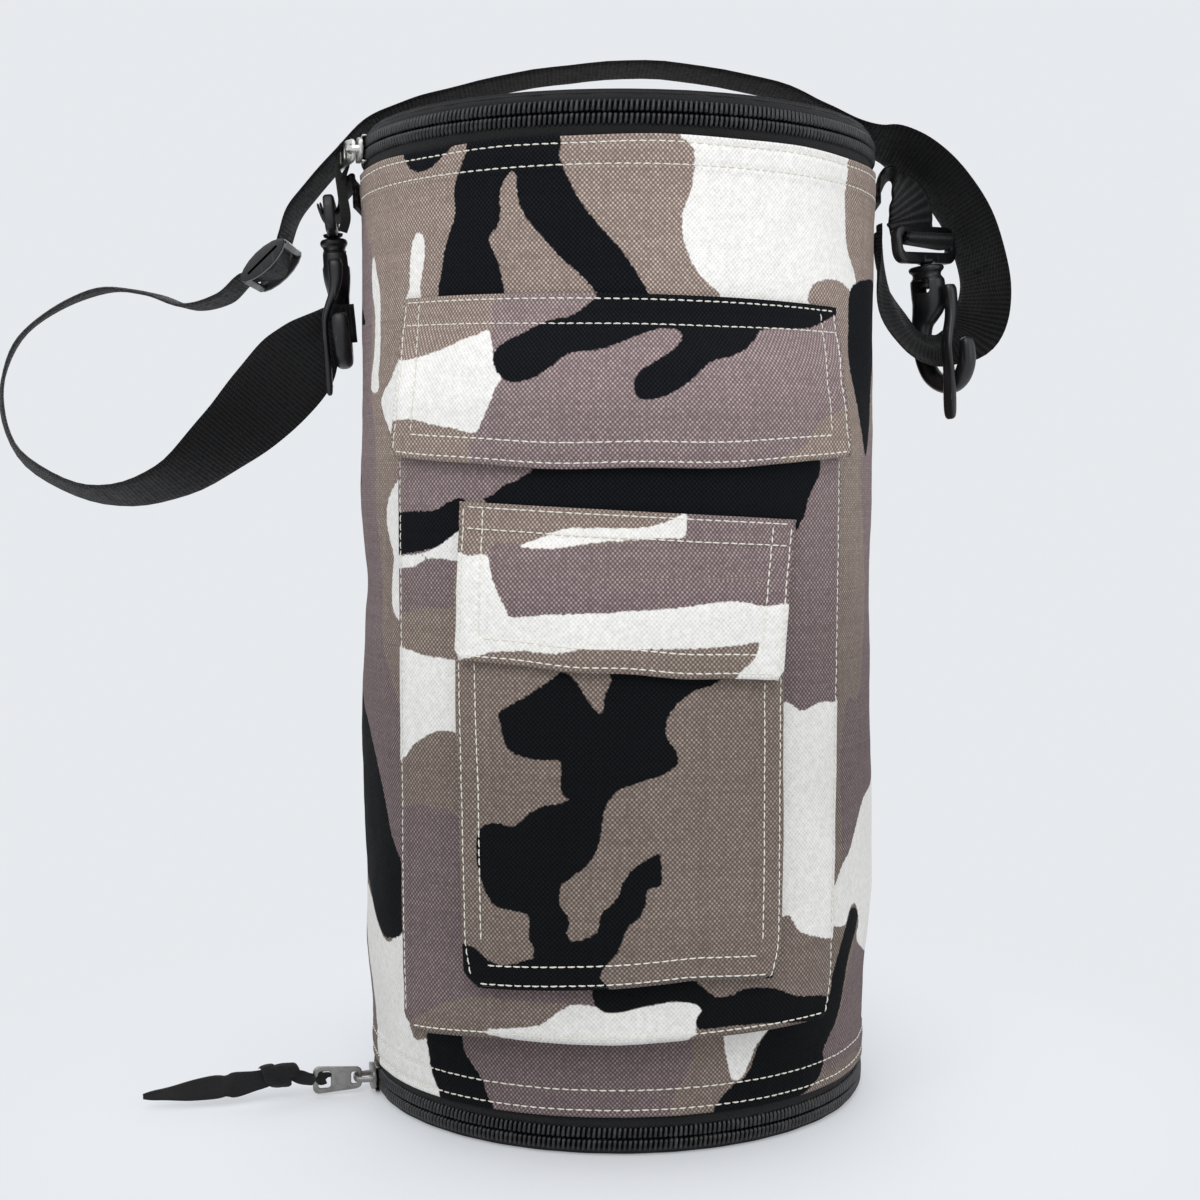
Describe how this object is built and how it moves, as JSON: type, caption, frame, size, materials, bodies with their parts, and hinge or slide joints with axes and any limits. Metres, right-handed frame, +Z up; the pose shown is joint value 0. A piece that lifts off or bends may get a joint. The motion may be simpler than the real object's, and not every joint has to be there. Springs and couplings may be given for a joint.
{
  "type": "drum stick bag",
  "caption": "Padded upright canvas cylinder with a zipped round lid at each end, a cargo pocket and a patch pocket with flaps, and a webbing shoulder strap on swivel snap hooks.",
  "frame": {"origin": "centre of the flat bottom face, on the axis of the bag", "axes": "+Z up along the bag, -Y the front with the pockets, +X the viewer's right"},
  "size_m": [0.46, 0.2607, 0.4639],
  "materials": {
    "foam_wall": "closed-cell foam",
    "body_shell": "plain-weave cotton canvas in a city camouflage print",
    "lining": "thin black lining cloth",
    "top_tape_body": "black woven zip tape",
    "top_coil_body": "black nylon coil",
    "bottom_tape_body": "black woven zip tape",
    "bottom_coil_body": "black nylon coil",
    "top_lid_hinge": "black ribbed webbing",
    "bottom_lid_hinge": "black ribbed webbing",
    "large_pocket": "plain-weave cotton canvas in a city camouflage print",
    "large_pocket_loop_tape": "black hook-and-loop tape",
    "small_pocket": "plain-weave cotton canvas in a city camouflage print",
    "small_pocket_loop_tape": "black hook-and-loop tape",
    "left_tab": "black ribbed webbing",
    "right_tab": "black ribbed webbing",
    "left_hook_eye": "black moulded plastic, satin",
    "right_hook_eye": "black moulded plastic, satin",
    "shoulder_strap": "black ribbed webbing",
    "top_lid_panel": "plain-weave cotton canvas in a city camouflage print",
    "top_lid_foam": "closed-cell foam",
    "top_lid_lining": "thin black lining cloth",
    "top_tape_lid": "black woven zip tape",
    "top_coil_lid": "black nylon coil",
    "bottom_lid_panel": "plain-weave cotton canvas in a city camouflage print",
    "bottom_lid_foam": "closed-cell foam",
    "bottom_lid_lining": "thin black lining cloth",
    "bottom_tape_lid": "black woven zip tape",
    "bottom_coil_lid": "black nylon coil",
    "large_flap": "plain-weave cotton canvas in a city camouflage print",
    "large_flap_hook_tape": "black hook-and-loop tape",
    "small_flap": "plain-weave cotton canvas in a city camouflage print",
    "small_flap_hook_tape": "black hook-and-loop tape",
    "top_slider": "bright nickel plate",
    "top_pull": "bright nickel plate",
    "top_pull_ribbon": "black ribbed webbing",
    "bottom_slider": "dark nickel plate",
    "bottom_pull": "dark nickel plate",
    "bottom_pull_ribbon": "black ribbed webbing",
    "left_hook_body": "black moulded plastic, satin",
    "left_hook_gate": "black moulded plastic, satin",
    "right_hook_body": "black moulded plastic, satin",
    "right_hook_gate": "black moulded plastic, satin",
    "tri_glide": "black moulded plastic, satin"
  },
  "bodies": {
    "bag": {"foam_wall": "foam_wall", "body_shell": "body_shell", "lining": "lining", "top_tape_body": "top_tape_body", "top_coil_body": "top_coil_body", "bottom_tape_body": "bottom_tape_body", "bottom_coil_body": "bottom_coil_body", "top_lid_hinge": "top_lid_hinge", "bottom_lid_hinge": "bottom_lid_hinge", "large_pocket": "large_pocket", "large_pocket_loop_tape": "large_pocket_loop_tape", "small_pocket": "small_pocket", "small_pocket_loop_tape": "small_pocket_loop_tape", "left_tab": "left_tab", "right_tab": "right_tab", "left_hook_eye": "left_hook_eye", "right_hook_eye": "right_hook_eye", "shoulder_strap": "shoulder_strap"},
    "top_lid": {"top_lid_panel": "top_lid_panel", "top_lid_foam": "top_lid_foam", "top_lid_lining": "top_lid_lining", "top_tape_lid": "top_tape_lid", "top_coil_lid": "top_coil_lid"},
    "bottom_lid": {"bottom_lid_panel": "bottom_lid_panel", "bottom_lid_foam": "bottom_lid_foam", "bottom_lid_lining": "bottom_lid_lining", "bottom_tape_lid": "bottom_tape_lid", "bottom_coil_lid": "bottom_coil_lid"},
    "large_flap_body": {"large_flap": "large_flap", "large_flap_hook_tape": "large_flap_hook_tape"},
    "small_flap_body": {"small_flap": "small_flap", "small_flap_hook_tape": "small_flap_hook_tape"},
    "top_slider_body": {"top_slider": "top_slider"},
    "top_pull_body": {"top_pull": "top_pull", "top_pull_ribbon": "top_pull_ribbon"},
    "bottom_slider_body": {"bottom_slider": "bottom_slider"},
    "bottom_pull_body": {"bottom_pull": "bottom_pull", "bottom_pull_ribbon": "bottom_pull_ribbon"},
    "left_hook": {"left_hook_body": "left_hook_body"},
    "left_gate": {"left_hook_gate": "left_hook_gate"},
    "right_hook": {"right_hook_body": "right_hook_body"},
    "right_gate": {"right_hook_gate": "right_hook_gate"},
    "tri_glide_body": {"tri_glide": "tri_glide"}
  },
  "joints": [
    {"name": "top_lid_fold", "type": "hinge", "parent": "bag", "child": "top_lid", "pos_m": [0, 0.1165, 0.429], "axis": [-1, 0, 0], "range_deg": [0, 110], "deforming": ["shoulder_strap", "top_lid_hinge"]},
    {"name": "bottom_lid_fold", "type": "hinge", "parent": "bag", "child": "bottom_lid", "pos_m": [0, 0.1165, 0.001], "axis": [1, 0, 0], "range_deg": [0, 100], "deforming": ["bottom_lid_hinge"]},
    {"name": "large_flap_fold", "type": "hinge", "parent": "bag", "child": "large_flap_body", "pos_m": [0, -0.1182, 0.349], "axis": [-1, 0, 0], "range_deg": [0, 110]},
    {"name": "small_flap_fold", "type": "hinge", "parent": "bag", "child": "small_flap_body", "pos_m": [0, -0.1334, 0.264], "axis": [-1, 0, 0], "range_deg": [0, 110]},
    {"name": "top_slider_travel", "type": "hinge", "parent": "bag", "child": "top_slider_body", "pos_m": [0, 0, 0.4218], "axis": [0, 0, 1], "range_deg": [-20, 175]},
    {"name": "top_pull_swing", "type": "hinge", "parent": "top_slider_body", "child": "top_pull_body", "pos_m": [-0.1161, -0.03111, 0.4218], "axis": [0, 0, 1], "range_deg": [0, 160], "deforming": ["top_pull_ribbon"]},
    {"name": "bottom_slider_travel", "type": "hinge", "parent": "bag", "child": "bottom_slider_body", "pos_m": [0, 0, 0.007], "axis": [0, 0, 1], "range_deg": [-20, 175]},
    {"name": "bottom_pull_swing", "type": "hinge", "parent": "bottom_slider_body", "child": "bottom_pull_body", "pos_m": [-0.1161, -0.03111, 0.007], "axis": [0, 0, 1], "range_deg": [-80, 80], "deforming": ["bottom_pull_ribbon"]},
    {"name": "left_hook_swivel", "type": "hinge", "parent": "bag", "child": "left_hook", "pos_m": [-0.1305, -0.002, 0.3955], "axis": [-0.0872, 0, 0.9962], "range_deg": [-40, 8]},
    {"name": "right_hook_swivel", "type": "hinge", "parent": "bag", "child": "right_hook", "pos_m": [0.14, 0.002, 0.384], "axis": [-0.1045, 0, 0.9945], "range_deg": [-30, 30]},
    {"name": "left_gate_press", "type": "hinge", "parent": "left_hook", "child": "left_gate", "pos_m": [-0.12729, -0.01354, 0.37269], "axis": [0.9907, 0.1045, 0.0867], "range_deg": [0, 14], "stiffness_Nm_per_rad": 0.04, "springref_deg": -5.73},
    {"name": "right_gate_press", "type": "hinge", "parent": "right_hook", "child": "right_gate", "pos_m": [0.15042, -0.00634, 0.36197], "axis": [0.7154, 0.6947, 0.0752], "range_deg": [0, 14], "stiffness_Nm_per_rad": 0.04, "springref_deg": -5.73},
    {"name": "tri_glide_slide", "type": "slide", "parent": "bag", "child": "tri_glide_body", "axis": [0.7193, 0, 0.6947], "range_m": [-0.012, 0.01]}
  ]
}
